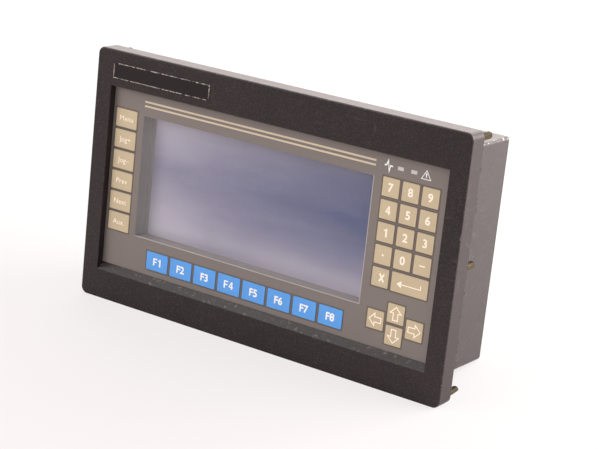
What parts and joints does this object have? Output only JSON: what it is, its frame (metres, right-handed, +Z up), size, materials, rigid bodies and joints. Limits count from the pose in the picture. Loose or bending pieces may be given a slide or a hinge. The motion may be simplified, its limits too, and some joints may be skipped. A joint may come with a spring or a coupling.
{
  "type": "keypad operator panel",
  "caption": "Flush-mounted operator panel: recessed display window, membrane keys in blocks, studs behind the bezel and a box housing with rear connectors.",
  "frame": {"origin": "centre of the bezel's rear face, which seats on the cabinet door, and of the stud pattern", "axes": "+X to the reader's right, +Y back into the cabinet, +Z up; the face looks along -Y"},
  "size_m": [0.24, 0.0641, 0.144],
  "materials": {
    "bezel_black": "fine-textured matt black",
    "badge_black": "bare black strip, worn at its edges",
    "gasket_rubber": "closed-cell foam rubber",
    "stud_brass": "dull brass",
    "overlay_grey": "warm grey textured film",
    "window_clear": "clear plate",
    "lamp_lens": "smoked lens",
    "dome_steel": "stainless snap domes",
    "circuit_board": "green solder mask",
    "led_body": "clear package",
    "frame_grey": "grey paint",
    "display_blue": "slate blue liquid crystal glass",
    "light_guide": "white acrylic",
    "spacer_brass": "turned",
    "chip_black": "moulded epoxy",
    "cell_steel": "plated can",
    "port_steel": "tin-plated shell",
    "screw_steel": "zinc plated",
    "terminal_green": "moulded",
    "housing_black": "satin black paint on pressed steel",
    "plate_silver": "bare plate",
    "key_beige": "beige textured film",
    "key_blue": "blue textured film"
  },
  "bodies": {
    "panel": {"bezel": "bezel_black", "name_badge": "badge_black", "panel_gasket": "gasket_rubber", "mounting_studs": "stud_brass", "keypad_overlay": "overlay_grey", "display_window": "window_clear", "lamp_lenses": "lamp_lens", "switch_domes": "dome_steel", "keypad_board": "circuit_board", "indicator_leds": "led_body", "display_frame": "frame_grey", "display_glass": "display_blue", "backlight": "light_guide", "display_board": "circuit_board", "display_spacers": "spacer_brass", "board_spacers": "spacer_brass", "main_board": "circuit_board", "board_chips": "chip_black", "riser_board": "circuit_board", "board_headers": "chip_black", "backup_battery": "cell_steel", "serial_ports": "port_steel", "jack_screws": "screw_steel", "power_terminal": "terminal_green", "terminal_screws": "screw_steel", "rear_housing": "housing_black", "housing_screws": "screw_steel", "rating_plate": "plate_silver"},
    "key_menu": {"key_menu": "key_beige"},
    "key_jog_plus": {"key_jog_plus": "key_beige"},
    "key_jog_minus": {"key_jog_minus": "key_beige"},
    "key_prev": {"key_prev": "key_beige"},
    "key_next": {"key_next": "key_beige"},
    "key_aux": {"key_aux": "key_beige"},
    "key_f1": {"key_f1": "key_blue"},
    "key_f2": {"key_f2": "key_blue"},
    "key_f3": {"key_f3": "key_blue"},
    "key_f4": {"key_f4": "key_blue"},
    "key_f5": {"key_f5": "key_blue"},
    "key_f6": {"key_f6": "key_blue"},
    "key_f7": {"key_f7": "key_blue"},
    "key_f8": {"key_f8": "key_blue"},
    "key_7": {"key_7": "key_beige"},
    "key_8": {"key_8": "key_beige"},
    "key_9": {"key_9": "key_beige"},
    "key_4": {"key_4": "key_beige"},
    "key_5": {"key_5": "key_beige"},
    "key_6": {"key_6": "key_beige"},
    "key_1": {"key_1": "key_beige"},
    "key_2": {"key_2": "key_beige"},
    "key_3": {"key_3": "key_beige"},
    "key_point": {"key_point": "key_beige"},
    "key_0": {"key_0": "key_beige"},
    "key_minus": {"key_minus": "key_beige"},
    "key_clear": {"key_clear": "key_beige"},
    "key_enter": {"key_enter": "key_beige"},
    "key_left": {"key_left": "key_beige"},
    "key_up": {"key_up": "key_beige"},
    "key_down": {"key_down": "key_beige"},
    "key_right": {"key_right": "key_beige"}
  },
  "joints": [
    {"name": "press_menu", "type": "slide", "parent": "panel", "child": "key_menu", "axis": [0, 1, 0], "range_m": [0, 0.0004], "stiffness_N_per_m": 400},
    {"name": "press_jog_plus", "type": "slide", "parent": "panel", "child": "key_jog_plus", "axis": [0, 1, 0], "range_m": [0, 0.0004], "stiffness_N_per_m": 400},
    {"name": "press_jog_minus", "type": "slide", "parent": "panel", "child": "key_jog_minus", "axis": [0, 1, 0], "range_m": [0, 0.0004], "stiffness_N_per_m": 400},
    {"name": "press_prev", "type": "slide", "parent": "panel", "child": "key_prev", "axis": [0, 1, 0], "range_m": [0, 0.0004], "stiffness_N_per_m": 400},
    {"name": "press_next", "type": "slide", "parent": "panel", "child": "key_next", "axis": [0, 1, 0], "range_m": [0, 0.0004], "stiffness_N_per_m": 400},
    {"name": "press_aux", "type": "slide", "parent": "panel", "child": "key_aux", "axis": [0, 1, 0], "range_m": [0, 0.0004], "stiffness_N_per_m": 400},
    {"name": "press_f1", "type": "slide", "parent": "panel", "child": "key_f1", "axis": [0, 1, 0], "range_m": [0, 0.0004], "stiffness_N_per_m": 400},
    {"name": "press_f2", "type": "slide", "parent": "panel", "child": "key_f2", "axis": [0, 1, 0], "range_m": [0, 0.0004], "stiffness_N_per_m": 400},
    {"name": "press_f3", "type": "slide", "parent": "panel", "child": "key_f3", "axis": [0, 1, 0], "range_m": [0, 0.0004], "stiffness_N_per_m": 400},
    {"name": "press_f4", "type": "slide", "parent": "panel", "child": "key_f4", "axis": [0, 1, 0], "range_m": [0, 0.0004], "stiffness_N_per_m": 400},
    {"name": "press_f5", "type": "slide", "parent": "panel", "child": "key_f5", "axis": [0, 1, 0], "range_m": [0, 0.0004], "stiffness_N_per_m": 400},
    {"name": "press_f6", "type": "slide", "parent": "panel", "child": "key_f6", "axis": [0, 1, 0], "range_m": [0, 0.0004], "stiffness_N_per_m": 400},
    {"name": "press_f7", "type": "slide", "parent": "panel", "child": "key_f7", "axis": [0, 1, 0], "range_m": [0, 0.0004], "stiffness_N_per_m": 400},
    {"name": "press_f8", "type": "slide", "parent": "panel", "child": "key_f8", "axis": [0, 1, 0], "range_m": [0, 0.0004], "stiffness_N_per_m": 400},
    {"name": "press_7", "type": "slide", "parent": "panel", "child": "key_7", "axis": [0, 1, 0], "range_m": [0, 0.0004], "stiffness_N_per_m": 400},
    {"name": "press_8", "type": "slide", "parent": "panel", "child": "key_8", "axis": [0, 1, 0], "range_m": [0, 0.0004], "stiffness_N_per_m": 400},
    {"name": "press_9", "type": "slide", "parent": "panel", "child": "key_9", "axis": [0, 1, 0], "range_m": [0, 0.0004], "stiffness_N_per_m": 400},
    {"name": "press_4", "type": "slide", "parent": "panel", "child": "key_4", "axis": [0, 1, 0], "range_m": [0, 0.0004], "stiffness_N_per_m": 400},
    {"name": "press_5", "type": "slide", "parent": "panel", "child": "key_5", "axis": [0, 1, 0], "range_m": [0, 0.0004], "stiffness_N_per_m": 400},
    {"name": "press_6", "type": "slide", "parent": "panel", "child": "key_6", "axis": [0, 1, 0], "range_m": [0, 0.0004], "stiffness_N_per_m": 400},
    {"name": "press_1", "type": "slide", "parent": "panel", "child": "key_1", "axis": [0, 1, 0], "range_m": [0, 0.0004], "stiffness_N_per_m": 400},
    {"name": "press_2", "type": "slide", "parent": "panel", "child": "key_2", "axis": [0, 1, 0], "range_m": [0, 0.0004], "stiffness_N_per_m": 400},
    {"name": "press_3", "type": "slide", "parent": "panel", "child": "key_3", "axis": [0, 1, 0], "range_m": [0, 0.0004], "stiffness_N_per_m": 400},
    {"name": "press_point", "type": "slide", "parent": "panel", "child": "key_point", "axis": [0, 1, 0], "range_m": [0, 0.0004], "stiffness_N_per_m": 400},
    {"name": "press_0", "type": "slide", "parent": "panel", "child": "key_0", "axis": [0, 1, 0], "range_m": [0, 0.0004], "stiffness_N_per_m": 400},
    {"name": "press_minus", "type": "slide", "parent": "panel", "child": "key_minus", "axis": [0, 1, 0], "range_m": [0, 0.0004], "stiffness_N_per_m": 400},
    {"name": "press_clear", "type": "slide", "parent": "panel", "child": "key_clear", "axis": [0, 1, 0], "range_m": [0, 0.0004], "stiffness_N_per_m": 400},
    {"name": "press_enter", "type": "slide", "parent": "panel", "child": "key_enter", "axis": [0, 1, 0], "range_m": [0, 0.0004], "stiffness_N_per_m": 400},
    {"name": "press_left", "type": "slide", "parent": "panel", "child": "key_left", "axis": [0, 1, 0], "range_m": [0, 0.0004], "stiffness_N_per_m": 400},
    {"name": "press_up", "type": "slide", "parent": "panel", "child": "key_up", "axis": [0, 1, 0], "range_m": [0, 0.0004], "stiffness_N_per_m": 400},
    {"name": "press_down", "type": "slide", "parent": "panel", "child": "key_down", "axis": [0, 1, 0], "range_m": [0, 0.0004], "stiffness_N_per_m": 400},
    {"name": "press_right", "type": "slide", "parent": "panel", "child": "key_right", "axis": [0, 1, 0], "range_m": [0, 0.0004], "stiffness_N_per_m": 400}
  ]
}
